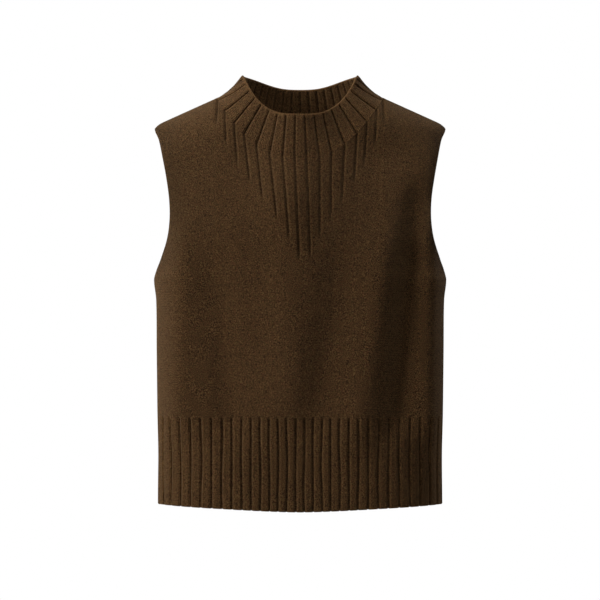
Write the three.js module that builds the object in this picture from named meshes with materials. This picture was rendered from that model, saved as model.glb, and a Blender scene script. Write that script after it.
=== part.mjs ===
// Knitted sweater vest with a ribbed mock neck, worn form with no wearer in it.
// Millimetres, +Z up, the front faces -Y. The origin is where the shoulders and the neck
// hold the vest: in its middle, level with the top of the shoulders.
import * as THREE from "three";

// Cloth
const WALL = 3; // thickness of the knit
const GROOVE_DEPTH = 1.4; // how far a purl column sinks between two ribs
const GROOVE_WIDTH = 4.4;
const SEAM_GAP = 0.3;
const SEAM_Y = 6; // the side seams and the shoulder seams lie in this plane

// Heights
const HEM_Z = -535;
const RIB_TOP_Z = -416;
const ARMPIT_Z = -241;

// Shoulders and neckline
const NECK_HALF = 110; // from the middle to where the neckline meets the shoulder seam
const NECK_SIDE_Z = -1.8;
const SHOULDER_SLOPE = 0.449;
const SHOULDER_ROUND = 60; // drop over which the cloth turns from the ridge to the chest
const TIP_HALF = 190.5; // shoulder tip
const TIP_START = 178; // from here out the ridge droops towards the tip
const TIP_DROOP = 3;
const NECKLINE_POWER = 2.2;
const NECK_DROP = { front: 86, back: 26 }; // from the shoulder seam to the neckline's middle

// Sections from the shoulder to the hem. half is half the width of the panels, girth half the
// width of the round that they lie on, front and back are depths from the seam plane, and
// square is the superellipse power of the round.
const SECTIONS = [
  { z: 20, half: 190.5, girth: 206, front: 54, back: 54, square: 2.6 },
  { z: -41, half: 190.5, girth: 205, front: 70, back: 72, square: 2.6 },
  { z: -58, half: 183.4, girth: 200, front: 75, back: 79, square: 2.6 },
  { z: -85, half: 177, girth: 194.5, front: 82, back: 87, square: 2.65 },
  { z: -112, half: 171.7, girth: 191, front: 88, back: 92, square: 2.7 },
  { z: -138, half: 168.1, girth: 188.5, front: 93, back: 94, square: 2.7 },
  { z: -164, half: 167.4, girth: 187, front: 97, back: 94, square: 2.7 },
  { z: -189, half: 170.9, girth: 186, front: 100, back: 93, square: 2.7 },
  { z: -215, half: 180.5, girth: 187, front: 101, back: 91, square: 2.7 },
  { z: -229, half: 187.4, girth: 189, front: 101, back: 90, square: 2.7 },
  { z: -241, half: 191.5, girth: 191.5, front: 101, back: 89, square: 2.7 },
  { z: -267, half: 188.7, girth: 188.7, front: 100, back: 87, square: 2.7 },
  { z: -333, half: 188, girth: 188, front: 97, back: 84, square: 2.75 },
  { z: -416, half: 187, girth: 187, front: 94, back: 84, square: 2.8 },
  { z: -470, half: 186, girth: 186, front: 92, back: 84, square: 2.8 },
  { z: -535, half: 186.5, girth: 186.5, front: 93, back: 86, square: 2.8 },
];

// Soft folds that hang from the bust and the underarms. Each runs from (xTop, zTop) to
// (xLow, zLow), sinks (-) or rises (+) by out, and fades over its own width.
const FRONT_FOLDS = [
  { xTop: -152, zTop: -168, xLow: -160, zLow: -437, width: 22, out: 9 },
  { xTop: -105, zTop: -214, xLow: -91, zLow: -438, width: 23, out: -5 },
  { xTop: -29, zTop: -174, xLow: -69, zLow: -438, width: 46, out: -6.5 },
  { xTop: 61, zTop: -187, xLow: 16, zLow: -445, width: 26, out: -5 },
  { xTop: 111, zTop: -207, xLow: 73, zLow: -449, width: 22, out: 5 },
  { xTop: 142, zTop: -119, xLow: 127, zLow: -437, width: 14, out: -7 },
  { xTop: 166, zTop: -172, xLow: 161, zLow: -438, width: 11, out: 9 },
  { xTop: 97, zTop: -51, xLow: 115, zLow: -206, width: 57, out: -12 },
  { xTop: -25, zTop: -94, xLow: -18, zLow: -397, width: 36, out: 8.5 },
  { xTop: 192, zTop: -80, xLow: 119, zLow: -208, width: 58, out: 14 },
];
const BACK_FOLDS = [
  { xTop: -158, zTop: -185, xLow: -154, zLow: -436, width: 16, out: 7.5 },
  { xTop: -128, zTop: -205, xLow: -96, zLow: -430, width: 20, out: -6 },
  { xTop: -52, zTop: -240, xLow: -40, zLow: -440, width: 32, out: 5 },
  { xTop: 6, zTop: -220, xLow: 14, zLow: -420, width: 24, out: -5 },
  { xTop: 66, zTop: -235, xLow: 58, zLow: -440, width: 26, out: 5 },
  { xTop: 134, zTop: -200, xLow: 106, zLow: -435, width: 19, out: -7 },
  { xTop: 162, zTop: -190, xLow: 152, zLow: -430, width: 13, out: 6 },
];
const FOLD_FADE = 70; // length over which a fold starts and ends
const FOLD_EDGE = 45; // depth of the round over which folds grow from nothing at the seams

// The yoke: each groove leaves the neckline at neckX and ends at (lowX, endZ).
const YOKE_GROOVES = [
  { neckX: -107.5, lowX: -107.8, endZ: -36 },
  { neckX: -97.6, lowX: -93.8, endZ: -62 },
  { neckX: -84.5, lowX: -79.7, endZ: -93 },
  { neckX: -71.5, lowX: -63.2, endZ: -117 },
  { neckX: -55.5, lowX: -46.6, endZ: -142 },
  { neckX: -38.5, lowX: -28.8, endZ: -163 },
  { neckX: -22, lowX: -13.5, endZ: -189 },
  { neckX: -6.5, lowX: -0.8, endZ: -212 },
  { neckX: 8.2, lowX: 12.6, endZ: -210 },
  { neckX: 25, lowX: 24.7, endZ: -189 },
  { neckX: 40, lowX: 38.7, endZ: -165 },
  { neckX: 57, lowX: 52.7, endZ: -142 },
  { neckX: 73, lowX: 68.7, endZ: -117 },
  { neckX: 86, lowX: 82, endZ: -92 },
  { neckX: 98.5, lowX: 96, endZ: -65 },
  { neckX: 107.5, lowX: 108.2, endZ: -36 },
];
const GROOVE_FADE = 10; // length over which a yoke groove runs out

// Collar: its rim is an oval, high at the sides and low in front. It climbs to the sides with
// frontPower of the sine of its turn, and at the back in half a wave over the backPower of it.
// Turns are counted in degrees from the middle of the front, + towards +X.
const RIM = {
  half: 76.5,
  y: -6,
  deep: 62,
  sideZ: 26.4,
  frontZ: -31,
  frontPower: 3,
  backZ: 14.1,
  backPower: 1.35,
};
const FRONT_RIB_TURN = 9; // from one front groove to the next
const SEAM_TURN = 71; // where the shoulder seam meets the collar
const BACK_RIBS = 27; // between the last front groove of each side
const RISE = 0.54; // how far the collar keeps the body's slope before it turns up, as a share

// Hem rib: its grooves stand closer in the middle of a band than near its sides.
const HEM_GROOVES = 34; // on each of the two bands
const HEM_PITCH = 11; // between the two middle grooves, along the cloth
const HEM_SPREAD = 0.00095;
const HEM_LIFT = 6; // the edge rises a little between the middle and the sides
const HEM_LIFT_POWER = 1.5; // how far out it rises most
const HEM_FLANK_LIFT = 1.3; // a further lift of the whole flank
const HEM_FLANK = 0.6; // share of the half width at which that is full

// How finely the walls are divided
const LOW_ROWS = 7;
const LOW_CROWD = 1.5; // how much closer the low rows stand towards the armpits
const HIGH_ROWS = 14;
const SIDE_COLUMNS = 10;
const SIDE_CROWD = 2.6; // how much closer the columns stand towards the side seams
const BACK_COLUMNS = 12;
const COLLAR_ROWS = 5;
const HEM_ROWS = 3;
const GIRTH_STEPS = 400; // for lengths along the cloth
const STEP = 0.5; // for slopes

const radians = THREE.MathUtils.degToRad;
const clamp01 = (value) => Math.min(1, Math.max(0, value));
const smooth = (value) => clamp01(value) ** 2 * (3 - 2 * clamp01(value));

// A column of SECTIONS at height z, on a smooth curve through the rows.
function section(column, z) {
  let i = SECTIONS.findIndex((row) => row.z <= z);
  if (i < 1) i = i === 0 ? 1 : SECTIONS.length - 1;
  const at = (k) => SECTIONS[Math.min(SECTIONS.length - 1, Math.max(0, k))];
  const slope = (k) => (at(k + 1)[column] - at(k - 1)[column]) / (at(k + 1).z - at(k - 1).z);
  const [top, low] = [at(i - 1), at(i)];
  const span = low.z - top.z;
  const t = clamp01((z - top.z) / span);
  const bend = (1 - t) * slope(i - 1) * span - t * slope(i) * span;
  const step = low[column] - top[column];
  return top[column] + step * t + t * (1 - t) * (bend + (2 * t - 1) * step);
}

// Height of the shoulder ridge above x.
function ridge(x) {
  const droop = TIP_DROOP * clamp01((Math.abs(x) - TIP_START) / (TIP_HALF - TIP_START)) ** 3;
  return NECK_SIDE_Z - SHOULDER_SLOPE * (Math.abs(x) - NECK_HALF) - droop;
}

// Height of the neckline above x, on the front or the back.
function neckline(side, x) {
  return NECK_SIDE_Z - NECK_DROP[side] * (1 - Math.min(1, Math.abs(x) / NECK_HALF) ** NECKLINE_POWER);
}

// Depth of the round at (x, z) before the shoulder turns it in.
function roundDepth(side, x, z) {
  const power = section("square", z);
  const across = Math.min(1, Math.abs(x) / section("girth", z));
  return section(side, z) * (1 - across ** power) ** (1 / power);
}

// How far below the top of the shoulder's turn (x, z) is, from 0 on the ridge to 1.
const turned = (x, z) => clamp01((ridge(x) - z) / SHOULDER_ROUND);

function foldOut(side, x, z) {
  const folds = side === "front" ? FRONT_FOLDS : BACK_FOLDS;
  let out = 0;
  for (const fold of folds) {
    const along = (fold.zTop - z) / (fold.zTop - fold.zLow);
    const middle = fold.xTop + (fold.xLow - fold.xTop) * along;
    const starts = smooth((fold.zTop - z) / FOLD_FADE + 0.5);
    const ends = smooth((z - fold.zLow) / FOLD_FADE + 0.5);
    out += fold.out * starts * ends * Math.exp(-(((x - middle) / fold.width) ** 2));
  }
  return out;
}

// A point of the cloth's outer face, and the way out of it. The way out follows the slopes of
// the round and of the shoulder's turn, taken over a short step each way.
function bodyPoint(side, x, z) {
  const way = side === "front" ? -1 : 1;
  const deep = roundDepth(side, x, z);
  const turn = turned(x, z);
  const sunk = Math.sqrt(1 - (1 - turn) ** 2);
  const slopeOf = (height, at) => (height(at + STEP) - height(at - STEP)) / (2 * STEP);
  const inside = Math.min(Math.abs(x), section("girth", z) - 2 * STEP) * Math.sign(x);
  const scale = (sunk * sunk) / Math.max(deep, 1);
  const lean = (1 - turn) / SHOULDER_ROUND;
  const out = new THREE.Vector3(
    -scale * slopeOf((at) => roundDepth(side, at, z), inside) - lean * slopeOf(ridge, x),
    (way * sunk) / Math.max(deep, 1),
    -scale * slopeOf((at) => roundDepth(side, x, at), z) + lean,
  ).normalize();
  const fold = foldOut(side, x, z) * smooth(deep / FOLD_EDGE);
  const y = SEAM_Y + way * (SEAM_GAP / 2 + (deep + fold) * sunk);
  return { at: new THREE.Vector3(x, y, z), out };
}

// On a seam the way out has no share along the seam plane's own axis.
function squareTo(axis, point) {
  point.out[axis] = 0;
  point.out.normalize();
  return point;
}

// How far a point lies sunk in a groove whose middle is apart from it.
const grooveCut = (apart) => GROOVE_DEPTH * (1 - clamp01(Math.abs(apart) / (GROOVE_WIDTH / 2)));

// A closed wall from rows of points with a way out and a cut. A ring's last column joins its first.
function wall(rows, isRing) {
  const count = rows[0].length;
  const outer = rows.flat().map((p) => p.at.clone().addScaledVector(p.out, -p.cut));
  const inner = rows.flat().map((p) => p.at.clone().addScaledVector(p.out, -WALL));
  const places = [...outer, ...inner].flatMap((p) => p.toArray());
  const faces = [];
  const quad = (a, b, c, d) => faces.push(a, b, c, a, c, d);
  const first = outer.length;
  const spans = isRing ? count : count - 1;
  for (let r = 0; r + 1 < rows.length; r++) {
    for (let c = 0; c < spans; c++) {
      const [a, b] = [r * count + c, r * count + ((c + 1) % count)];
      quad(a, b, b + count, a + count);
      quad(first + b, first + a, first + a + count, first + b + count);
    }
    if (!isRing) {
      const [a, b] = [r * count, r * count + count - 1];
      quad(first + a, a, a + count, first + a + count);
      quad(b, first + b, first + b + count, b + count);
    }
  }
  const top = (rows.length - 1) * count;
  for (let c = 0; c < spans; c++) {
    const next = (c + 1) % count;
    quad(first + c, first + next, next, c);
    quad(top + c, top + next, first + top + next, first + top + c);
  }
  const geometry = new THREE.BufferGeometry();
  geometry.setAttribute("position", new THREE.Float32BufferAttribute(places, 3));
  geometry.setIndex(faces);
  geometry.computeVertexNormals();
  return geometry;
}

// Where the back's columns reach its neckline.
function backNeck() {
  const places = [];
  for (let i = 0; i <= BACK_COLUMNS; i++) {
    places.push(NECK_HALF * Math.sin(radians(90) * ((2 * i) / BACK_COLUMNS - 1)));
  }
  return places;
}

// Columns of a panel between the two ends of its neckline. On the front there are three to a
// groove: its middle and its two sides, apart from it.
function neckColumns(side) {
  const plain = (x) => ({ neckX: x, lowX: x, endZ: ARMPIT_Z, apart: Infinity });
  if (side === "back") return backNeck().map(plain);
  const limit = NECK_HALF - SEAM_GAP;
  const columns = YOKE_GROOVES.flatMap((groove) =>
    [-1, 0, 1].map((way) => {
      const apart = (way * GROOVE_WIDTH) / 2;
      const neckX = Math.min(limit, Math.max(-limit, groove.neckX + apart));
      return { neckX, lowX: groove.lowX + apart, endZ: groove.endZ, apart };
    }),
  );
  return [plain(-NECK_HALF), ...columns, plain(NECK_HALF)];
}

// The point of a neck column at height z.
function neckColumnPoint(side, column, z) {
  const top = neckline(side, column.neckX);
  const along = clamp01((z - column.endZ) / (top - column.endZ));
  const point = bodyPoint(side, column.lowX + (column.neckX - column.lowX) * along, z);
  point.cut = grooveCut(column.apart) * smooth((z - column.endZ) / GROOVE_FADE);
  return point;
}

// The point of a column between the neckline's end and the panel's edge, share across.
function sideColumnPoint(side, share, way, z) {
  const half = section("half", Math.min(z, SECTIONS[1].z));
  const x = way * (NECK_HALF + share * (half - NECK_HALF));
  const point = bodyPoint(side, x, z);
  point.cut = 0;
  return share === 1 && z <= ARMPIT_Z ? squareTo("y", point) : point;
}

function panel(side) {
  const middle = neckColumns(side);
  const shares = [];
  for (let i = 1; i <= SIDE_COLUMNS; i++) shares.push(1 - (1 - i / SIDE_COLUMNS) ** SIDE_CROWD);
  const heights = [];
  for (let r = 0; r < LOW_ROWS; r++) {
    heights.push(ARMPIT_Z - (ARMPIT_Z - RIB_TOP_Z) * (1 - r / LOW_ROWS) ** LOW_CROWD);
  }
  const rows = [];
  const rowAt = (heightOf) => {
    const row = [...shares].reverse().map((share) => heightOf.side(share, -1));
    row.push(...middle.map((column) => heightOf.neck(column)));
    row.push(...shares.map((share) => heightOf.side(share, 1)));
    rows.push(side === "front" ? row : row.reverse());
  };
  heights.forEach((z, r) => {
    const finish = r === 0 ? (p) => squareTo("z", p) : (p) => p;
    const lift = r === 0 ? SEAM_GAP / 2 : 0;
    rowAt({
      side: (share, way) => finish(sideColumnPoint(side, share, way, z + lift)),
      neck: (column) => finish(neckColumnPoint(side, column, z + lift)),
    });
  });
  for (let r = 0; r <= HIGH_ROWS; r++) {
    const done = r / HIGH_ROWS;
    const eased = (1 - Math.cos(Math.PI * done)) / 2;
    const height = (top, crowd) => ARMPIT_Z + (top - ARMPIT_Z) * (done + (eased - done) * crowd);
    rowAt({
      side: (share, way) => {
        const top = ridge(NECK_HALF + share * (TIP_HALF - NECK_HALF));
        const point = sideColumnPoint(side, share, way, height(top, 1));
        return r === HIGH_ROWS ? squareTo("y", point) : point;
      },
      neck: (column) => {
        const crowd = smooth((Math.abs(column.neckX) - NECK_HALF / 2) / (NECK_HALF / 2));
        const atEnd = Math.abs(column.neckX) === NECK_HALF;
        const gap = atEnd ? 0 : SEAM_GAP;
        const point = neckColumnPoint(side, column, height(neckline(side, column.neckX) - gap, crowd));
        return r === HIGH_ROWS && atEnd ? squareTo("y", point) : point;
      },
    });
  }
  return wall(rows, false);
}

// Where the collar's foot meets the front, the shoulder seam or the back.
const footAt = (side, x) => bodyPoint(side, x, neckline(side, x));

function seamFoot(way) {
  const foot = squareTo("y", footAt("front", way * NECK_HALF));
  foot.at.y = SEAM_Y;
  return foot;
}

function backFoot(turn) {
  const around = turn > 180 ? turn - 360 : turn;
  const share = (180 - Math.abs(around)) / (180 - SEAM_TURN);
  const x = NECK_HALF * Math.sin(radians(90) * share) * Math.sign(around);
  const places = backNeck();
  const i = Math.min(places.length - 1, Math.max(1, places.findIndex((place) => place > x)));
  const along = (x - places[i - 1]) / (places[i] - places[i - 1]);
  const [from, to] = [footAt("back", places[i - 1]), footAt("back", places[i])];
  return { at: from.at.lerp(to.at, along), out: from.out.lerp(to.out, along).normalize() };
}

function rimPoint(turn) {
  const [across, along] = [Math.sin(radians(turn)), Math.cos(radians(turn))];
  const front = along > 0;
  const [middle, power] = front ? [RIM.frontZ, RIM.frontPower] : [RIM.backZ, RIM.backPower];
  const rise = Math.abs(across) ** power;
  const z = middle + (RIM.sideZ - middle) * (front ? rise : (1 - Math.cos(Math.PI * rise)) / 2);
  return new THREE.Vector3(RIM.half * across, RIM.y - RIM.deep * along, z);
}

// The collar's columns once round: three to a groove, and one at each shoulder seam.
function collarSpots() {
  const spots = [];
  const halfGroove = THREE.MathUtils.radToDeg(GROOVE_WIDTH / 2 / RIM.half);
  const last = ((YOKE_GROOVES.length - 1) / 2) * FRONT_RIB_TURN;
  const front = neckColumns("front").slice(1, -1);
  front.forEach((column, i) => {
    const way = (i % 3) - 1;
    const turn = Math.floor(i / 3) * FRONT_RIB_TURN - last + way * halfGroove;
    spots.push({ turn, foot: footAt("front", column.neckX), cut: grooveCut(column.apart) });
  });
  spots.push({ turn: SEAM_TURN, foot: seamFoot(1), cut: 0 });
  for (let i = 1; i < BACK_RIBS; i++) {
    for (const way of [-1, 0, 1]) {
      const turn = last + (i * (360 - 2 * last)) / BACK_RIBS + way * halfGroove;
      spots.push({ turn, foot: backFoot(turn), cut: grooveCut((way * GROOVE_WIDTH) / 2) });
    }
  }
  spots.push({ turn: -SEAM_TURN, foot: seamFoot(-1), cut: 0 });
  return spots;
}

function collar() {
  const columns = collarSpots().map(({ turn, foot, cut }) => {
    const rim = rimPoint(turn);
    const rise = rim.clone().sub(foot.at);
    const length = rise.length();
    const slope = rise.addScaledVector(foot.out, -rise.dot(foot.out)).normalize();
    const sag = foot.at.clone().addScaledVector(slope, RISE * length);
    return { curve: new THREE.QuadraticBezierCurve3(foot.at, sag, rim), out: foot.out, cut };
  });
  const rows = [];
  for (let r = 0; r <= COLLAR_ROWS; r++) {
    const share = r / COLLAR_ROWS;
    rows.push(columns.map((column) => ({ at: column.curve.getPoint(share), cut: column.cut })));
  }
  const count = columns.length;
  rows.forEach((row, r) => {
    row.forEach((point, c) => {
      const [before, after] = [row[(c + count - 1) % count], row[(c + 1) % count]];
      const along = after.at.clone().sub(before.at);
      const up = columns[c].curve.getTangent(r / COLLAR_ROWS);
      point.out = r === 0 ? columns[c].out : along.cross(up).normalize();
    });
  });
  return wall(rows, true);
}

// Where a point lies across the round, as a share of its half width, when it is length along
// the cloth from the middle of the band.
function girthWalk(side, z) {
  const [half, deep, power] = [section("half", z), section(side, z), section("square", z)];
  const stops = [{ length: 0, share: 0, x: 0, y: deep }];
  for (let i = 1; i <= GIRTH_STEPS; i++) {
    const angle = (radians(90) * i) / GIRTH_STEPS;
    const share = Math.sin(angle) ** (2 / power);
    const [x, y] = [half * share, deep * Math.max(0, Math.cos(angle)) ** (2 / power)];
    const last = stops[i - 1];
    stops.push({ length: last.length + Math.hypot(x - last.x, y - last.y), share, x, y });
  }
  return (length) => {
    const i = Math.max(1, stops.findIndex((stop) => stop.length >= length));
    const [from, to] = [stops[i - 1], stops[i]];
    return from.share + ((to.share - from.share) * (length - from.length)) / (to.length - from.length);
  };
}

// The columns of a hem band from its middle to its side seam.
function hemHalf(side) {
  const shareAt = girthWalk(side, HEM_Z);
  const spots = [];
  for (let i = 0.5; i < HEM_GROOVES / 2; i++) {
    const middle = HEM_PITCH * i * (1 + HEM_SPREAD * i * i);
    for (const apart of [-GROOVE_WIDTH / 2, 0, GROOVE_WIDTH / 2]) {
      spots.push({ share: shareAt(middle + apart), cut: grooveCut(apart) });
    }
  }
  spots.push({ share: 1, cut: 0 });
  return spots;
}

function hemRib(side) {
  const half = hemHalf(side);
  const mirrored = half.map(({ share, cut }) => ({ share: -share, cut }));
  const spots = [...mirrored.reverse(), ...half];
  const rows = [];
  for (let r = 0; r <= HEM_ROWS; r++) {
    const up = r / HEM_ROWS;
    const z = HEM_Z + (RIB_TOP_Z - SEAM_GAP / 2 - HEM_Z) * up;
    const row = spots.map(({ share, cut }) => {
      const point = bodyPoint(side, share * section("half", z), z);
      const deep = roundDepth(side, point.at.x, z) / section(side, z);
      const flank = HEM_FLANK_LIFT * smooth(Math.abs(share) / HEM_FLANK);
      const lift = HEM_LIFT * Math.abs(share) ** HEM_LIFT_POWER + flank;
      point.at.z += lift * Math.sqrt(deep) * (1 - up);
      point.cut = cut;
      if (r === 0 || r === HEM_ROWS) squareTo("z", point);
      return Math.abs(share) === 1 ? squareTo("y", point) : point;
    });
    rows.push(side === "front" ? row : row.reverse());
  }
  return wall(rows, false);
}

function knit(name, geometry, color) {
  const material = new THREE.MeshStandardMaterial({ color, roughness: 0.95, metalness: 0 });
  const mesh = new THREE.Mesh(geometry, material);
  mesh.name = name;
  return mesh;
}

const group = new THREE.Group();
group.add(knit("front_panel", panel("front"), 0x3f2c1b));
group.add(knit("back_panel", panel("back"), 0x3b2919));
group.add(knit("collar", collar(), 0x44301e));
group.add(knit("hem_rib_front", hemRib("front"), 0x3e2b1b));
group.add(knit("hem_rib_back", hemRib("back"), 0x3a2818));
export default group;
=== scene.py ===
import math

import bpy
import numpy as np
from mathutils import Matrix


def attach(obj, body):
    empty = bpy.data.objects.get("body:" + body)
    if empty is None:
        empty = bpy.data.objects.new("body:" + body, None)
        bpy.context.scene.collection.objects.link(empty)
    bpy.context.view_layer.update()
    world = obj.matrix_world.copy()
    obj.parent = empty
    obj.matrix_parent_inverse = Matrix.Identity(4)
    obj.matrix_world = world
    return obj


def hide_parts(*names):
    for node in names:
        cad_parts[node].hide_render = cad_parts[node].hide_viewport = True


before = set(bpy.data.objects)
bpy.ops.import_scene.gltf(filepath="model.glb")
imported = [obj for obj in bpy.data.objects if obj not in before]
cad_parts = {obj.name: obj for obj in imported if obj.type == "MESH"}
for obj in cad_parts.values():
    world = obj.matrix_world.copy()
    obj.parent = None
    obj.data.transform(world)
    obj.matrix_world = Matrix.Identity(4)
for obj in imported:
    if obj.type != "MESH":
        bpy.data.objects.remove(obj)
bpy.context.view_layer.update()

# A knitted sweater vest, worn form with no wearer. The tables are in millimetres, in the
# frame's axes: +Z up, the front faces -Y. Meshes are made in metres.
MM = 0.001

# Cloth
WALL = 2.8
COLLAR_WALL = 3.3
SEAM_GAP = 0.04
SEAM_Y = 6.0

# Heights
HEM_Z = -535.0
RIB_TOP_Z = -416.0
ARMPIT_Z = -241.0

# Shoulders and neckline
NECK_HALF = 110.0
NECK_SIDE_Z = -1.8
SHOULDER_SLOPE = 0.449
SHOULDER_ROUND = 60.0
TIP_HALF = 190.5
TIP_START = 178.0
TIP_DROOP = 3.0
NECKLINE_POWER = 2.2
NECK_DROP = {"front": 86.0, "back": 26.0}

# Sections from the shoulder to the hem: height, half the width of the panels, half the width
# of the round that they lie on, depth to the front and to the back of the seam plane, and the
# superellipse power of the round.
SECTION_COLUMNS = ("z", "half", "girth", "front", "back", "square")
SECTION_ROWS = (
    (20, 190.5, 206, 54, 54, 2.6),
    (-41, 190.5, 205, 70, 72, 2.6),
    (-58, 183.4, 200, 75, 79, 2.6),
    (-85, 177, 194.5, 82, 87, 2.65),
    (-112, 171.7, 191, 88, 92, 2.7),
    (-138, 168.1, 188.5, 93, 94, 2.7),
    (-164, 167.4, 187, 97, 94, 2.7),
    (-189, 170.9, 186, 100, 93, 2.7),
    (-215, 180.5, 187, 101, 91, 2.7),
    (-229, 187.4, 189, 101, 90, 2.7),
    (-241, 191.5, 191.5, 101, 89, 2.7),
    (-267, 188.7, 188.7, 100, 87, 2.7),
    (-333, 188, 188, 97, 84, 2.75),
    (-416, 187, 187, 94, 84, 2.8),
    (-470, 186, 186, 92, 84, 2.8),
    (-535, 186.5, 186.5, 93, 86, 2.8),
)

# Soft folds: top and low end of each (x, z), its half width and how far it stands out.
FOLD_COLUMNS = ("x_top", "z_top", "x_low", "z_low", "width", "out")
FOLDS = {
    "front": (
        (-152, -168, -160, -437, 22, 9),
        (-105, -214, -91, -438, 23, -6.5),
        (-29, -174, -69, -438, 46, -6.5),
        (61, -187, 16, -445, 26, -5),
        (111, -207, 73, -449, 22, 5),
        (150, -119, 119, -432, 17, -10),
        (174, -165, 172, -450, 20, 14),
        (97, -51, 115, -206, 57, -12),
        (-21, -94, -14, -397, 36, 8.5),
        (192, -80, 119, -208, 58, 14),
        (-4, 40, -12, -190, 40, 4.5),
    ),
    "back": (
        (-158, -185, -154, -436, 16, 7.5),
        (-128, -205, -96, -430, 20, -6),
        (-52, -240, -40, -440, 32, 5),
        (6, -220, 14, -420, 24, -5),
        (66, -235, 58, -440, 26, 5),
        (134, -200, 106, -435, 19, -7),
        (162, -190, 152, -430, 13, 6),
    ),
}
FOLD_FADE = 70.0  # a fold's ends run out over this height
FOLD_EDGE = 45.0  # and its sides where the round is less deep than this
SLOPE_STEP = 0.5

# The yoke's grooves: where each leaves the neckline, where it ends, and the height of its end.
YOKE_COLUMNS = ("neck_x", "low_x", "end_z")
YOKE_ROWS = (
    (-107.5, -107.8, -46),
    (-97.6, -93.8, -74),
    (-84.5, -79.7, -101),
    (-71.5, -63.2, -122),
    (-55.5, -46.6, -146),
    (-38.5, -28.8, -167),
    (-22, -13.5, -193),
    (-6.5, -0.8, -219),
    (8.2, 13.2, -216),
    (25, 24.7, -193),
    (40, 38.7, -169),
    (57, 52.7, -146),
    (73, 68.7, -121),
    (86, 82, -97),
    (98.5, 96, -71),
    (107.5, 108.2, -42),
)
YOKE_FADE = 16.0

# Collar
RIM_HALF = 76.5
RIM_Y = -6.0
RIM_DEEP = 62.0
RIM_POINT = 6.0  # the middle of the front stands out by this much
RIM_POINT_X = -4.0
RIM_POINT_HALF = 28.0
RIM_SIDE_Z = 26.4
RIM_FRONT_Z = -31.0
RIM_BACK_Z = 14.1
RIM_BACK_POWER = 1.35
RIM_FRONT_POWER = 3
RIM_THIN = 0.3
FRONT_RIB_TURN = 9.0
SEAM_TURN = 71.0
BACK_RIBS = 27
RISE = 0.54  # share of the collar's height over which it leaves the body's slope
COLLAR_EASE = 0.8  # crowds the collar's rows at its foot and rim
INNER_RIB = 0.9  # the ribs on the collar's inside
INNER_GROOVE = 0.75
FAN_HALF = 0.85  # the grooves narrow towards the rim, over this much of their way
FAN_AFTER = 22.0
# A painted highlight along the collar's rim: its strength, and how far down the outer face it reaches in
# mm.
RIM_PAINTED_HIGHLIGHT = 2.0
RIM_HIGHLIGHT_DEEP = 2.6
RIM_PLAIN = 1.8  # the bound-off edge, where the ribs end
MITRE_HIGH = 0.32  # the ridge where the collar's ribs turn into the yoke's
MITRE_HALF = 1.3
MITRE_START = 18.0  # degrees from the middle of the front
MITRE_FULL = 38.0
FAR_UP = 1000.0
CROWD = 0.75

# Hem rib
HEM_GROOVES = 34
HEM_PITCH = 11.0
HEM_SPREAD = 0.00095
HEM_WANDER = 0.7  # how far the grooves stray sideways
HEM_WANDER_LONG = 19.0
WANDER_TURN = 2.4
WANDER_EACH = 1.7
WANDER_START = 0.6
HEM_LIFT = 6.0  # the hem line rises by this much to the sides
HEM_LIFT_POWER = 1.5
HEM_FLANK_LIFT = 1.3
HEM_FLANK_FROM = 0.6
RIB_FADE = 3.5

# Rib grooves: depth, half width of the purl column and of the round-off of the ribs beside it
GROOVE_DEPTH = 2.45
GROOVE_HALF = 1.45
ROUND_HALF = 3.9
ROUND_SHARE = 0.42
YOKE_ROUND_SHARE = 0.27
FAN_ROUND_SHARE = 0.16
LIP = 0.75  # the knit column at a groove's side stands up this much
LIP_AWAY = 2.75
LIP_HALF = 0.9
# A painted highlight pales the lip, and painted shade darkens the groove, in the yoke, the hem and on the
# collar's inside.
LIP_PAINTED_HIGHLIGHT = 0.35
SHADOW_HALF = 1.0
YOKE_SHADOW = 1.35
HEM_SHADOW = 1.3
INSIDE_SHADOW = 2.6

# Knit gauge
WALE = 2.75
COURSE = 2.2
WALES_A_RIB = 4


def table(columns, rows):
    return {name: np.array([row[i] for row in rows], float) for i, name in enumerate(columns)}


SECTIONS = table(SECTION_COLUMNS, SECTION_ROWS)
YOKE = table(YOKE_COLUMNS, YOKE_ROWS)
FRONT_TURNS = (np.arange(len(YOKE_ROWS)) - (len(YOKE_ROWS) - 1) / 2) * FRONT_RIB_TURN


def smooth(value):
    t = np.clip(value, 0, 1)
    return t * t * (3 - 2 * t)


def mix(a, b, share):
    return a + (b - a) * share


def section(column, z):
    """A column of the sections at heights z, on a smooth curve through the rows."""
    rows_z, rows = SECTIONS["z"], SECTIONS[column]
    z = np.asarray(z, float)
    last = len(rows_z) - 1
    low = np.clip(np.searchsorted(-rows_z, -z, side="left"), 1, last)
    before, after = np.maximum(np.arange(last + 1) - 1, 0), np.minimum(np.arange(last + 1) + 1, last)
    slopes = (rows[after] - rows[before]) / (rows_z[after] - rows_z[before])
    span = rows_z[low] - rows_z[low - 1]
    t = np.clip((z - rows_z[low - 1]) / span, 0, 1)
    step = rows[low] - rows[low - 1]
    bend = (1 - t) * slopes[low - 1] * span - t * slopes[low] * span
    return rows[low - 1] + step * t + t * (1 - t) * (bend + (2 * t - 1) * step)


def ridge(x):
    droop = TIP_DROOP * np.clip((np.abs(x) - TIP_START) / (TIP_HALF - TIP_START), 0, 1) ** 3
    return NECK_SIDE_Z - SHOULDER_SLOPE * (np.abs(x) - NECK_HALF) - droop


def neckline(side, x):
    across = np.minimum(1, np.abs(x) / NECK_HALF)
    return NECK_SIDE_Z - NECK_DROP[side] * (1 - across**NECKLINE_POWER)


def round_depth(side, x, z):
    power = section("square", z)
    across = np.minimum(1, np.abs(x) / section("girth", z))
    return section(side, z) * np.maximum(0, 1 - across**power) ** (1 / power)


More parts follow.
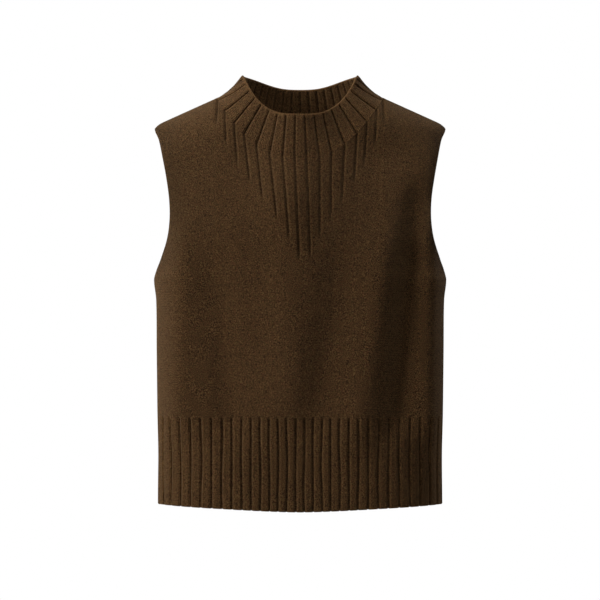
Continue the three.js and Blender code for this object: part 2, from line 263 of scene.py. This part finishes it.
def fold_out(side, x, z):
    out = np.zeros(np.broadcast(x, z).shape)
    for x_top, z_top, x_low, z_low, width, high in FOLDS[side]:
        middle = mix(x_top, x_low, (z_top - z) / (z_top - z_low))
        ends = smooth((z_top - z) / FOLD_FADE + 0.5) * smooth((z - z_low) / FOLD_FADE + 0.5)
        out += high * ends * np.exp(-(((x - middle) / width) ** 2))
    return out


def unit(vectors):
    return vectors / np.maximum(np.linalg.norm(vectors, axis=-1, keepdims=True), 1e-12)


def body(side, x, z):
    """Points of the cloth's outer face at (x, z), and the way out of it."""
    x, z = np.broadcast_arrays(np.asarray(x, float), np.asarray(z, float))
    way = -1 if side == "front" else 1
    step = SLOPE_STEP
    deep = round_depth(side, x, z)
    turn = np.clip((ridge(x) - z) / SHOULDER_ROUND, 0, 1)
    sunk = np.sqrt(1 - (1 - turn) ** 2)
    inside = np.minimum(np.abs(x), section("girth", z) - 2 * step) * np.sign(x)
    by_x = (round_depth(side, inside + step, z) - round_depth(side, inside - step, z)) / (2 * step)
    by_z = (round_depth(side, x, z + step) - round_depth(side, x, z - step)) / (2 * step)
    fall = (ridge(x + step) - ridge(x - step)) / (2 * step)
    scale = sunk**2 / np.maximum(deep, 1)
    lean = (1 - turn) / SHOULDER_ROUND
    out_y = way * sunk / np.maximum(deep, 1)
    out = np.stack([-scale * by_x - lean * fall, out_y, -scale * by_z + lean], -1)
    fold = fold_out(side, x, z) * smooth(deep / FOLD_EDGE)
    y = SEAM_Y + way * (SEAM_GAP / 2 + (deep + fold) * sunk)
    return np.stack([x, y, z], -1), unit(out)


def groove(apart, half=GROOVE_HALF, round_share=ROUND_SHARE):
    """How far the face sinks at a distance from a groove's middle."""
    narrow = np.exp(-((apart / half) ** 2))
    wide = np.exp(-((apart / ROUND_HALF) ** 2))
    lip = np.exp(-(((apart - LIP_AWAY) / LIP_HALF) ** 2))
    return GROOVE_DEPTH * ((1 - round_share) * narrow + round_share * wide) - LIP * lip


def shadow(apart):
    """Painted shade at a distance from a groove's middle: 1 in it, below 0 beside it, where a painted
    highlight pales the lip.
    """
    beside = np.exp(-(((np.abs(apart) - LIP_AWAY) / LIP_HALF) ** 2))
    return np.exp(-((apart / SHADOW_HALF) ** 2)) - LIP_PAINTED_HIGHLIGHT * beside


def top_z(x):
    """Height of the front's neckline, or far above it beside the neck."""
    return np.where(np.abs(x) < NECK_HALF, neckline("front", x), FAR_UP)


def crowded(count):
    """count shares from 0 up to 1, closer together near both ends."""
    s = np.arange(count) / count
    return s - CROWD * np.sin(2 * math.pi * s) / (2 * math.pi)


# Meshes


def build(name, outer, inner, uv, sunk, ring, bulge, node, materials):
    """A closed wall between two grids of points, with rounded edges.

    sunk is the painted shading of the outer and the inner points: painted shade, 1 in a groove, and
    painted highlight below 0.
    bulge says how far each edge point stands out of its edge, in half thicknesses: an array
    along the loop of edge points, or for a ring one for its low edge and one for its top."""
    rows, cols = outer.shape[:2]
    index = np.arange(rows * cols).reshape(rows, cols)
    if ring:
        loops = [index[0], index[-1][::-1]]
    else:
        loops = [np.concatenate([index[0], index[1:, -1], index[-1, -2::-1], index[-2:0:-1, 0]])]
    points = [outer.reshape(-1, 3), inner.reshape(-1, 3)]
    places = [uv.reshape(-1, 2), uv.reshape(-1, 2)]
    painted_shadings = [sunk[0].ravel(), sunk[1].ravel()]
    faces, kinds = [], []
    left = index if ring else index[:, :-1]
    right = np.roll(index, -1, 1) if ring else index[:, 1:]
    quads = np.stack([left[:-1], right[:-1], right[1:], left[1:]], -1).reshape(-1, 4)
    faces += [quads, quads[:, ::-1] + rows * cols]
    kinds += [np.zeros(len(quads), int), np.ones(len(quads), int)]
    total = 2 * rows * cols
    for loop, out in zip(loops, bulge):
        rim, back = points[0][loop], points[1][loop]
        along = unit(np.roll(rim, -1, 0) - np.roll(rim, 1, 0))
        normal = unit(rim - back)
        away = unit(np.cross(along, normal))
        thick = np.linalg.norm(rim - back, axis=1, keepdims=True) / 2
        layers = [loop]
        for k in range(1, EDGE_STEPS):
            angle = math.pi * k / EDGE_STEPS
            spot = (rim + back) / 2 + math.cos(angle) * (rim - back) / 2
            spot = spot + math.sin(angle) * away * thick * np.asarray(out).reshape(-1, 1)
            points.append(spot)
            places.append(places[0][loop])
            free = np.asarray(out) > SEAM_BULGE
            # A painted highlight pales the round-off of the free edges.
            painted_shadings.append(painted_shadings[0][loop] - EDGE_PAINTED_HIGHLIGHT * math.sin(angle) * free)
            layers.append(np.arange(total, total + len(loop)))
            total += len(loop)
        layers.append(loop + rows * cols)
        for a, b in zip(layers, layers[1:]):
            strip = np.stack([a, b, np.roll(b, -1), np.roll(a, -1)], -1)
            faces.append(strip)
            kinds.append(np.zeros(len(strip), int))
    flat = np.zeros(total, bool)
    for loop, out in zip(loops, bulge):
        seam = loop[np.asarray(out) == SEAM_BULGE]
        flat[seam] = flat[seam + rows * cols] = True
    points, places = np.concatenate(points) * MM, np.concatenate(places)
    faces, kinds = np.concatenate(faces), np.concatenate(kinds)
    mesh = bpy.data.meshes.new(name)
    mesh.from_pydata(points.tolist(), [], faces.tolist())
    layer = mesh.uv_layers.new(name="knit")
    corner = np.empty(len(mesh.loops), np.int32)
    mesh.loops.foreach_get("vertex_index", corner)
    layer.uv.foreach_set("vector", places[corner].astype(np.float32).ravel())
    for material in materials:
        mesh.materials.append(material)
    mesh.polygons.foreach_set("material_index", kinds.astype(np.int32))
    mesh.polygons.foreach_set("use_smooth", np.ones(len(faces), bool))
    ends = np.empty(len(mesh.edges) * 2, np.int32)
    mesh.edges.foreach_get("vertices", ends)
    # The sunk attribute carries the painted shade and painted highlight to the material.
    shading_attribute = mesh.attributes.new("sunk", "FLOAT", "POINT")
    shading_attribute.data.foreach_set("value", np.concatenate(painted_shadings).astype(np.float32))
    sharp = mesh.attributes.new("sharp_edge", "BOOLEAN", "EDGE")
    sharp.data.foreach_set("value", flat[ends.reshape(-1, 2)].all(1))
    mesh.update()
    piece = bpy.data.objects.new(name, mesh)
    bpy.context.scene.collection.objects.link(piece)
    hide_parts(node)
    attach(piece, "root")
    return piece


# Rows and columns of the grids
EDGE_STEPS = 5
NECK_STEPS = 12  # columns between two grooves
NARROW = 5.0  # a yoke column narrower than this gets fewer
NARROW_STEPS = 4
SIDE_STEPS = 56
SIDE_CROWD = 2.6
LOW_ROWS = 44
HIGH_ROWS = 66
LAST_ROWS = (0.55, 0.25, 0)  # rows close to a panel's top, before the last full one
BACK_STEPS = 84
COLLAR_ROWS = 28
HEM_ROWS = 34
WALK_STEPS = 1200
SEAM_BULGE = 0.03
EDGE_PAINTED_HIGHLIGHT = 1.8  # a painted highlight, where light catches the loose fibres, makes a free edge paler


def yoke_lines(z):
    """x of the yoke's lines at heights z: the neckline's ends and the grooves between them."""
    top = neckline("front", YOKE["neck_x"])
    lines = [np.full(z.shape, -NECK_HALF)]
    for i in range(len(top)):
        share = np.clip((z - YOKE["end_z"][i]) / (top[i] - YOKE["end_z"][i]), 0, 1)
        lines.append(mix(YOKE["low_x"][i], YOKE["neck_x"][i], share))
    return [*lines, np.full(z.shape, NECK_HALF)]


def heights(top, crowd):
    """Rows of heights for columns that end at top."""
    low = RIB_TOP_Z + SEAM_GAP / 2 + (ARMPIT_Z - RIB_TOP_Z) * np.arange(LOW_ROWS) / LOW_ROWS
    rows = np.concatenate([np.arange(HIGH_ROWS), HIGH_ROWS - np.array(LAST_ROWS)])
    done = rows[:, None] / HIGH_ROWS
    eased = (1 - np.cos(math.pi * done)) / 2
    high = ARMPIT_Z + (top - ARMPIT_Z) * (done + (eased - done) * crowd)
    return np.concatenate([np.repeat(low[:, None], len(top), 1), high])


def panel(side, materials):
    if side == "front":
        places = np.array([-NECK_HALF, *YOKE["neck_x"], NECK_HALF])
        steps = [NECK_STEPS if width > NARROW else NARROW_STEPS for width in np.diff(places)]
        line = np.concatenate([np.full(n, i) for i, n in enumerate(steps)])
        share = np.concatenate([crowded(n) for n in steps])
        line, share = np.append(line, len(steps) - 1), np.append(share, 1.0)
        neck_x = mix(places[line], places[line + 1], share)
        wales = np.maximum(1, np.round(np.diff([-NECK_HALF, *YOKE["low_x"], NECK_HALF]) / WALE))
        stops = np.concatenate([[0], np.cumsum(wales)]) - 0.5
        neck_u = mix(stops[line], stops[line + 1], share)
    else:
        neck_x = NECK_HALF * np.sin(np.linspace(-math.pi / 2, math.pi / 2, BACK_STEPS + 1))
        neck_u = neck_x / WALE
    top = neckline(side, neck_x) - SEAM_GAP
    top[[0, -1]] = ridge(NECK_HALF)
    crowd = smooth((np.abs(neck_x) - NECK_HALF / 2) / (NECK_HALF / 2))
    neck_z = heights(top, crowd)
    if side == "front":
        lines = np.stack(yoke_lines(neck_z))
        pairs = ((lines[k, :, c], lines[k + 1, :, c], share[c]) for c, k in enumerate(line))
        neck_at = np.stack([mix(*pair) for pair in pairs], 1)
    else:
        neck_at = np.repeat(neck_x[None], len(neck_z), 0)
    out = 1 - (1 - np.arange(1, SIDE_STEPS + 1) / SIDE_STEPS) ** SIDE_CROWD
    side_top = ridge(NECK_HALF + out * (TIP_HALF - NECK_HALF))
    side_z = heights(side_top, np.ones(SIDE_STEPS))
    half = section("half", np.minimum(side_z, SECTIONS["z"][1]))
    side_at = NECK_HALF + out * (half - NECK_HALF)
    x = np.concatenate([-side_at[:, ::-1], neck_at, side_at], 1)
    z = np.concatenate([side_z[:, ::-1], neck_z, side_z], 1)
    face, normal = body(side, x, z)
    seam_rows = z[:, -1] <= ARMPIT_Z + 1e-6
    for edge in (0, -1):
        normal[seam_rows, edge, 1] = 0
    far = np.abs(x[-1]) >= NECK_HALF
    normal[-1, far, 1] = 0
    normal[0, :, 2] = 0
    normal = unit(normal)
    # sink is the grooves' relief, and the grid beside it is painted shade in the yoke's grooves and
    # painted highlight on their lips.
    sink, painted_shading = np.zeros(x.shape), np.zeros(x.shape)
    if side == "front":
        for i, at in enumerate(yoke_lines(z)[1:-1]):
            here = smooth((z - YOKE["end_z"][i]) / YOKE_FADE)
            sink += groove(np.abs(x - at), GROOVE_HALF, YOKE_ROUND_SHARE) * here
            painted_shading += YOKE_SHADOW * shadow(x - at) * here
        right = len(YOKE_ROWS) // 2
        neck_stops = [0, *YOKE["neck_x"][right:], NECK_HALF]
        turn = np.interp(np.abs(x), neck_stops, [0, *FRONT_TURNS[right:], SEAM_TURN])
        below = np.maximum(0, top_z(x) - z)
        sink -= mitre(turn) * np.exp(-((below / MITRE_HALF) ** 2))
    outer = face - normal * sink[..., None]
    inner = face - normal * WALL
    # Wales run up the columns, courses along them.
    row = len(z) // 3
    steps = np.linalg.norm(np.diff(face[row], axis=0), axis=1)
    run = np.concatenate([[0], np.cumsum(steps)])
    u = (run - run[len(run) // 2]) / WALE
    if side == "front":
        u[SIDE_STEPS:-SIDE_STEPS] = neck_u
        left, right = slice(None, SIDE_STEPS), slice(-SIDE_STEPS, None)
        for part, pin in ((left, SIDE_STEPS), (right, len(u) - SIDE_STEPS - 1)):
            u[part] = u[pin] + (run[part] - run[pin]) / WALE
    v = climbed(face) / COURSE
    uv = np.stack([np.broadcast_to(u, v.shape), v], -1)
    rows, cols = x.shape
    low = np.full(cols, SEAM_BULGE)
    rise = np.where(seam_rows[1:], SEAM_BULGE, 1.0)
    bulge = np.concatenate([low, rise, low[:-1], rise[:-1][::-1]])
    if side == "back":
        outer, inner, uv = outer[:, ::-1], inner[:, ::-1], uv[:, ::-1]
    sunk = (painted_shading, 0 * painted_shading)
    return build(side + "_knit", outer, inner, uv, sunk, False, [bulge], side + "_panel", materials)


def mitre(turn):
    """Height of the ridge at the neckline, where the collar is turn degrees round."""
    return MITRE_HIGH * smooth((turn - MITRE_START) / (MITRE_FULL - MITRE_START))


def climbed(face):
    """Length up each column of points, from its foot."""
    steps = np.linalg.norm(np.diff(face, axis=0), axis=2)
    return np.concatenate([np.zeros((1, face.shape[1])), np.cumsum(steps, 0)])


def collar(materials):
    last = FRONT_TURNS[-1]
    pitch = (360 - 2 * last) / BACK_RIBS
    grooves = np.concatenate([FRONT_TURNS, last + pitch * np.arange(1, BACK_RIBS + 1)])
    shares = crowded(NECK_STEPS)
    turns = np.concatenate([mix(a, b, shares) for a, b in zip(grooves, grooves[1:])])
    wrapped = np.where(turns > 180, turns - 360, turns)
    rib = np.concatenate([i + shares for i in range(len(grooves) - 1)])
    # The foot, on the front, the seam or the back
    stops = [-SEAM_TURN, *FRONT_TURNS, SEAM_TURN]
    front_x = np.interp(wrapped, stops, [-NECK_HALF, *YOKE["neck_x"], NECK_HALF])
    away = (180 - np.abs(wrapped)) / (180 - SEAM_TURN)
    back_x = NECK_HALF * np.sin(math.pi / 2 * np.clip(away, 0, 1)) * np.sign(wrapped)
    foot, low_normal = body("front", front_x, neckline("front", front_x))
    foot_back, normal_back = body("back", back_x, neckline("back", back_x))
    is_back = np.abs(wrapped) > SEAM_TURN
    foot[is_back], low_normal[is_back] = foot_back[is_back], normal_back[is_back]
    across, along = np.sin(np.radians(wrapped)), np.cos(np.radians(wrapped))
    ahead = along > 0
    to_side = (1 - np.cos(math.pi * np.abs(across) ** RIM_BACK_POWER)) / 2
    rim_z = np.where(
        ahead,
        RIM_FRONT_Z + (RIM_SIDE_Z - RIM_FRONT_Z) * np.abs(across) ** RIM_FRONT_POWER,
        RIM_BACK_Z + (RIM_SIDE_Z - RIM_BACK_Z) * to_side,
    )
    point = RIM_POINT * np.exp(-(((RIM_HALF * across - RIM_POINT_X) / RIM_POINT_HALF) ** 2)) * ahead
    rim = np.stack([RIM_HALF * across, RIM_Y - RIM_DEEP * along - point, rim_z], -1)
    rise = rim - foot
    along_body = rise - low_normal * np.sum(rise * low_normal, -1, keepdims=True)
    sag = foot + unit(along_body) * RISE * np.linalg.norm(rise, axis=-1, keepdims=True)
    t = np.linspace(0, 1, COLLAR_ROWS + 1)
    t = mix(t, (1 - np.cos(math.pi * t)) / 2, COLLAR_EASE)[:, None, None]
    face = (1 - t) ** 2 * foot + 2 * t * (1 - t) * sag + t**2 * rim
    up = 2 * (1 - t) * (sag - foot) + 2 * t * (rim - sag)
    round_ = np.roll(face, -1, 1) - np.roll(face, 1, 1)
    normal = unit(np.cross(round_, up))
    normal[0] = low_normal
    width = np.linalg.norm(np.roll(face, -NECK_STEPS, 1) - face, axis=2)
    part = rib - np.floor(rib)
    near = np.minimum(part, 1 - part) * width
    length = climbed(face)
    plain = smooth((length[-1] - length) / RIM_PLAIN)
    turned = np.minimum(1, np.abs(wrapped) / SEAM_TURN) * SEAM_TURN
    high = mitre(turned) * ~is_back
    half = mix(GROOVE_HALF, FAN_HALF, smooth(length / FAN_AFTER))
    flat = mix(YOKE_ROUND_SHARE, FAN_ROUND_SHARE, smooth(length / FAN_AFTER) * high / MITRE_HIGH)
    sink = groove(near, half, flat) * plain - high * np.exp(-((length / MITRE_HALF) ** 2))
    # Painted shade in the grooves, and a painted highlight along the rim.
    painted_shading = shadow(near) * plain - RIM_PAINTED_HIGHLIGHT * np.exp(-(((length[-1] - length) / RIM_HIGHLIGHT_DEEP) ** 2))
    outer = face - normal * sink[..., None]
    middle = np.abs(part - 0.5) * width
    thick = COLLAR_WALL - RIM_THIN + (INNER_RIB - INNER_GROOVE * groove(middle)) * plain
    inner = face - normal * thick[..., None]
    # Painted shade in the grooves of the collar's inside.
    painted_shading_inside = INSIDE_SHADOW * shadow(middle) * plain
    uv = np.stack([np.broadcast_to(rib * WALES_A_RIB, length.shape), length / COURSE], -1)
    bulge = [np.full(len(turns), SEAM_BULGE), np.full(len(turns), 1.0)]
    return build("collar_knit", outer, inner, uv, (painted_shading, painted_shading_inside), True, bulge, "collar", materials)


def girth_walk(side, z):
    """Share across the round for a length along the cloth from its middle."""
    angle = np.linspace(0, math.pi / 2, WALK_STEPS)
    half, deep, power = (float(section(c, z)) for c in ("half", side, "square"))
    share = np.sin(angle) ** (2 / power)
    x, y = half * share, deep * np.maximum(0, np.cos(angle)) ** (2 / power)
    run = np.concatenate([[0], np.cumsum(np.hypot(np.diff(x), np.diff(y)))])
    return run, share


def hem(side, materials):
    run, share_at = girth_walk(side, HEM_Z)
    i = np.arange(HEM_GROOVES // 2) + 0.5
    half = HEM_PITCH * i * (1 + HEM_SPREAD * i * i)
    grooves = np.concatenate([-half[::-1], half])
    ends = np.array([-run[-1], *grooves, run[-1]])
    shares = crowded(NECK_STEPS)
    length = np.append(np.concatenate([mix(a, b, shares) for a, b in zip(ends, ends[1:])]), run[-1])
    rib = np.append(np.concatenate([k + shares for k in range(len(ends) - 1)]), len(ends) - 1)
    share = np.sign(length) * np.interp(np.abs(length), run, share_at)
    up = np.linspace(0, 1, HEM_ROWS + 1)[:, None]
    z = HEM_Z + (RIB_TOP_Z - SEAM_GAP / 2 - HEM_Z) * up
    x = share * section("half", z)
    z = np.broadcast_to(z, x.shape)
    face, normal = body(side, x, z)
    deep = round_depth(side, x, z) / section(side, z)
    lift = HEM_LIFT * np.abs(share) ** HEM_LIFT_POWER
    lift = lift + HEM_FLANK_LIFT * smooth(np.abs(share) / HEM_FLANK_FROM)
    face[..., 2] += lift * np.sqrt(deep) * (1 - up)
    normal[:, [0, -1], 1] = 0
    normal[[0, -1], :, 2] = 0
    normal = unit(normal)
    below = (1 - up) * (RIB_TOP_Z - HEM_Z)
    order = np.arange(len(grooves))
    each = np.sin(WANDER_EACH * order + WANDER_START)
    wander = HEM_WANDER * np.sin(below / HEM_WANDER_LONG + WANDER_TURN * order) * each
    near = np.min(np.abs(length[None, :, None] - (grooves + wander)[:, None, :]), axis=2)
    here = smooth(below / RIB_FADE)
    outer = face - normal * (groove(near) * here)[..., None]
    # Painted shade in the hem's grooves, and painted highlight on their lips.
    painted_shading = HEM_SHADOW * shadow(near) * here
    inner = face - normal * WALL
    climb = climbed(face)
    uv = np.stack([np.broadcast_to(rib * WALES_A_RIB, climb.shape), climb / COURSE], -1)
    rows, cols = x.shape
    low = WALL / np.maximum(np.linalg.norm(outer[0] - inner[0], axis=1), WALL / 4)
    seam = np.full(rows - 1, SEAM_BULGE)
    low[[0, -1]] = SEAM_BULGE
    bulge = np.concatenate([low, seam, np.full(cols - 1, SEAM_BULGE), seam[:-1]])
    if side == "back":
        outer, inner, uv, painted_shading = outer[:, ::-1], inner[:, ::-1], uv[:, ::-1], painted_shading[:, ::-1]
    sunk = (painted_shading, 0 * painted_shading)
    name, node = "hem_" + side + "_knit", "hem_rib_" + side
    return build(name, outer, inner, uv, sunk, False, [bulge], node, materials)


# Materials

YARN_DARK = (0.013, 0.0058, 0.0017, 1)
YARN = (0.050, 0.0245, 0.0090, 1)
YARN_LIGHT = (0.140, 0.074, 0.031, 1)
TINT_OLIVE = (0.86, 1.0, 0.86, 1)
TINT_RUST = (1.0, 0.86, 0.86, 1)
SHEEN_TINT = (0.95, 0.60, 0.30, 1)
YARN_STOPS = (0.36, 0.555, 0.76)
TINT_STOPS = (0.36, 0.64)
GRAIN_SCALE = 1400.0
GRAIN_SHAPE = (1.0, 0.45, 1.0)  # longer front to back: it lasts where the cloth turns edge-on
GRAIN = 1.8
GRAIN_MIDDLE = -0.415
CLOUD = 0.05
# Painted shade between the stitches' legs, and the strength of the sunk attribute's painted shade and
# highlight.
STITCH_PAINTED_SHADE = 0.10
GROOVE_PAINTED_SHADE = 0.09
TINT_SCALE = 1010.0
FUZZ = 0.25  # loose fibres, as a share of a stitch's height
STITCH_HIGH = 0.8  # mm


class Nodes:
    """Adds shader nodes and joins them up."""

    def __init__(self, material):
        self.tree = material.node_tree
        self.tree.nodes.clear()

    def add(self, kind, inputs=(), **settings):
        node = self.tree.nodes.new(kind)
        for name, value in settings.items():
            setattr(node, name, value)
        for name, value in dict(inputs).items():
            if isinstance(value, bpy.types.NodeSocket):
                self.tree.links.new(value, node.inputs[name])
            else:
                node.inputs[name].default_value = value
        return node

    def math(self, operation, *values):
        return self.add("ShaderNodeMath", dict(enumerate(values)), operation=operation).outputs[0]


def yarn(name, stitch):
    """Heathered wool, with painted shade and painted highlight in its colour. stitch makes the height of
    the knit from the wale and course sockets.
    """
    material = bpy.data.materials.new(name)
    material.use_nodes = True
    n = Nodes(material)
    places = n.add("ShaderNodeUVMap", uv_map="knit").outputs[0]
    apart = n.add("ShaderNodeSeparateXYZ", {0: places})
    height = stitch(n, apart.outputs[0], apart.outputs[1])
    spot = n.add("ShaderNodeTexCoord").outputs["Object"]
    long = n.add("ShaderNodeVectorMath", {0: spot, 1: GRAIN_SHAPE}, operation="MULTIPLY").outputs[0]
    fibre = n.add("ShaderNodeTexNoise", {"Vector": long, "Scale": GRAIN_SCALE, "Detail": 0.0})
    cloud = n.add("ShaderNodeTexNoise", {"Vector": spot, "Scale": 30.0, "Detail": 3.0, "Roughness": 0.55})
    # The sunk attribute: painted shade in the grooves, painted highlight at lips and free edges.
    sunk = n.add("ShaderNodeAttribute", attribute_name="sunk").outputs["Fac"]
    blend = n.math("MULTIPLY_ADD", fibre.outputs["Fac"], GRAIN, GRAIN_MIDDLE)
    blend = n.math("MULTIPLY_ADD", cloud.outputs["Fac"], CLOUD, blend)
    # Painted shade where the stitches' legs dip, then the sunk attribute's painted shade and highlight.
    grain_and_painted_shading = n.math("MULTIPLY_ADD", height, STITCH_PAINTED_SHADE, blend)
    grain_and_painted_shading = n.math("MULTIPLY_ADD", sunk, -GROOVE_PAINTED_SHADE, grain_and_painted_shading)
    ramp = n.add("ShaderNodeValToRGB", {"Fac": grain_and_painted_shading})
    stops = ramp.color_ramp.elements
    stops[0].position, stops[0].color = YARN_STOPS[0], YARN_DARK
    stops[1].position, stops[1].color = YARN_STOPS[2], YARN_LIGHT
    middle = stops.new(YARN_STOPS[1])
    middle.color = YARN
    hue = n.add("ShaderNodeTexNoise", {"Vector": long, "Scale": TINT_SCALE, "Detail": 0.0})
    tint = n.add("ShaderNodeValToRGB", {"Fac": hue.outputs["Fac"]})
    for end, place, shade_of in zip(tint.color_ramp.elements, TINT_STOPS, (TINT_OLIVE, TINT_RUST)):
        end.position, end.color = place, shade_of
    colour = n.add("ShaderNodeMix", data_type="RGBA", blend_type="MULTIPLY")
    colour.inputs[0].default_value = 1.0
    n.tree.links.new(ramp.outputs["Color"], colour.inputs[6])
    n.tree.links.new(tint.outputs["Color"], colour.inputs[7])
    rough = n.math("MULTIPLY_ADD", fibre.outputs["Fac"], FUZZ, height)
    relief = n.add("ShaderNodeBump", {"Height": rough, "Strength": 1.0, "Distance": STITCH_HIGH * MM})
    shader = n.add(
        "ShaderNodeBsdfPrincipled",
        {
            "Base Color": colour.outputs[2],
            "Roughness": 0.92,
            "Specular IOR Level": 0.1,
            "Sheen Weight": 0.15,
            "Sheen Roughness": 0.45,
            "Sheen Tint": SHEEN_TINT,
            "Normal": relief.outputs["Normal"],
        },
    )
    target = n.add("ShaderNodeOutputMaterial", {"Surface": shader.outputs[0]})
    target.is_active_output = True
    return material


def plain_stitch(n, wale, course):
    """The V of each knit stitch: two legs that lean together."""
    from_middle = n.math("ABSOLUTE", n.math("SUBTRACT", n.math("FRACT", wale), 0.5))
    leg = n.math("SINE", n.math("MULTIPLY", from_middle, 2 * math.pi))
    lean = n.math("MULTIPLY_ADD", from_middle, -1.3, course)
    wave = n.math("COSINE", n.math("MULTIPLY", lean, 2 * math.pi))
    wave = n.math("MULTIPLY_ADD", wave, 0.3, 0.7)
    return n.math("MULTIPLY", leg, wave)


def purl_stitch(n, wale, course):
    """The back of the knit: rows of short bumps."""
    wave = n.math("COSINE", n.math("MULTIPLY", course, 2 * math.pi))
    bump = n.math("COSINE", n.math("MULTIPLY", wale, 4 * math.pi))
    both = n.math("MULTIPLY_ADD", bump, 0.25, wave)
    return n.math("MULTIPLY_ADD", both, 0.4, 0.5)


def pale(name, colour, roughness):
    material = bpy.data.materials.new(name)
    material.use_nodes = True
    n = Nodes(material)
    spot = n.add("ShaderNodeTexCoord").outputs["Object"]
    noise = n.add("ShaderNodeTexNoise", {"Vector": spot, "Scale": 3.0, "Detail": 2.0})
    ramp = n.add("ShaderNodeValToRGB", {"Fac": noise.outputs["Fac"]})
    ramp.color_ramp.elements[0].color = (*[c * 0.97 for c in colour], 1)
    ramp.color_ramp.elements[1].color = (*colour, 1)
    looks = {"Base Color": ramp.outputs["Color"], "Roughness": roughness}
    shader = n.add("ShaderNodeBsdfPrincipled", looks)
    n.add("ShaderNodeOutputMaterial", {"Surface": shader.outputs[0]})
    return material


# Camera, light and floor

CAMERA_AWAY = 2500.0
CAMERA_Z = -267.0
PIXELS_A_MM = 0.76  # in the plane of the side seams
IMAGE = 600
SENSOR = 36.0
FLOOR_Z = -1380.0
FLOOR_REACH = 3.0
CAMERA_X = -0.15
AMBIENT = 0.015

# Lights: name, place in m, size, power and colour
LIGHTS = (
    ("key", (-2.35, -1.2, 0.8), 1.1, 76, (1, 0.965, 0.92)),
    ("low", (-1.6, -1.6, -1.0), 0.8, 4, (1, 0.97, 0.94)),
    ("top", (0.15, -0.3, 1.9), 1.2, 31, (1, 0.98, 0.95)),
    ("edge_left", (-1.6, 1.4, 0.6), 1.0, 15, (1, 0.97, 0.94)),
    ("edge_right", (1.6, 1.4, 0.6), 1.0, 14, (1, 0.97, 0.94)),
)
# A small one in the neck shows the collar's back wall.
HOLLOW_LIGHT = ("hollow", (-0.012, -0.036, -0.07), 0.03, 0.03, (1, 0.97, 0.94), (-0.03, 0.06, 0.0))


def make_camera():
    data = bpy.data.cameras.new("camera")
    data.sensor_width = SENSOR
    data.lens = PIXELS_A_MM * CAMERA_AWAY / IMAGE * SENSOR
    data.clip_end = 50
    camera = bpy.data.objects.new("camera", data)
    camera.location = (CAMERA_X * MM, (SEAM_Y - CAMERA_AWAY) * MM, CAMERA_Z * MM)
    camera.rotation_euler = (math.pi / 2, 0, 0)
    bpy.context.scene.collection.objects.link(camera)
    bpy.context.scene.camera = camera


def make_light(name, place, size, power, colour, target=(0, 0, CAMERA_Z * MM)):
    data = bpy.data.lights.new(name, "AREA")
    data.shape, data.size, data.energy, data.color = "DISK", size, power, colour
    light = bpy.data.objects.new(name, data)
    light.location = place
    aim = np.array(target) - np.array(place)
    pitch, turn = math.atan2(math.hypot(aim[0], aim[1]), -aim[2]), math.atan2(aim[1], aim[0]) - math.pi / 2
    light.rotation_euler = (pitch, 0, turn)
    bpy.context.scene.collection.objects.link(light)


def make_world():
    world = bpy.data.worlds.new("studio")
    world.use_nodes = True
    tree = world.node_tree
    tree.nodes.clear()
    target = tree.nodes.new("ShaderNodeOutputWorld")
    seen, lit = (tree.nodes.new("ShaderNodeBackground") for _ in range(2))
    both = tree.nodes.new("ShaderNodeMixShader")
    path = tree.nodes.new("ShaderNodeLightPath")
    seen.inputs["Color"].default_value = (1, 1, 1, 1)
    lit.inputs["Color"].default_value = (1, 0.985, 0.96, 1)
    lit.inputs["Strength"].default_value = AMBIENT
    tree.links.new(path.outputs["Is Camera Ray"], both.inputs[0])
    tree.links.new(lit.outputs[0], both.inputs[1])
    tree.links.new(seen.outputs[0], both.inputs[2])
    tree.links.new(both.outputs[0], target.inputs[0])
    bpy.context.scene.world = world


def make_floor():
    mesh = bpy.data.meshes.new("floor")
    reach = FLOOR_REACH
    corners = [(-reach, -reach, 0), (reach, -reach, 0), (reach, reach, 0), (-reach, reach, 0)]
    mesh.from_pydata(corners, [], [(0, 1, 2, 3)])
    mesh.materials.append(pale("floor", (0.86, 0.855, 0.845), 0.8))
    floor = bpy.data.objects.new("floor", mesh)
    floor.location.z = FLOOR_Z * MM
    bpy.context.scene.collection.objects.link(floor)


make_camera()
make_world()
make_floor()
for light_row in LIGHTS:
    make_light(*light_row)
make_light(*HOLLOW_LIGHT)
bpy.context.scene.view_settings.view_transform = "Standard"

outside = yarn("knit_plain", plain_stitch)
ribbed = yarn("knit_rib", plain_stitch)
inside = yarn("knit_inside", purl_stitch)

front = panel("front", [outside, inside])
back = panel("back", [outside, inside])
ring = collar([ribbed, ribbed])
hem_front = hem("front", [ribbed, inside])
hem_back = hem("back", [ribbed, inside])
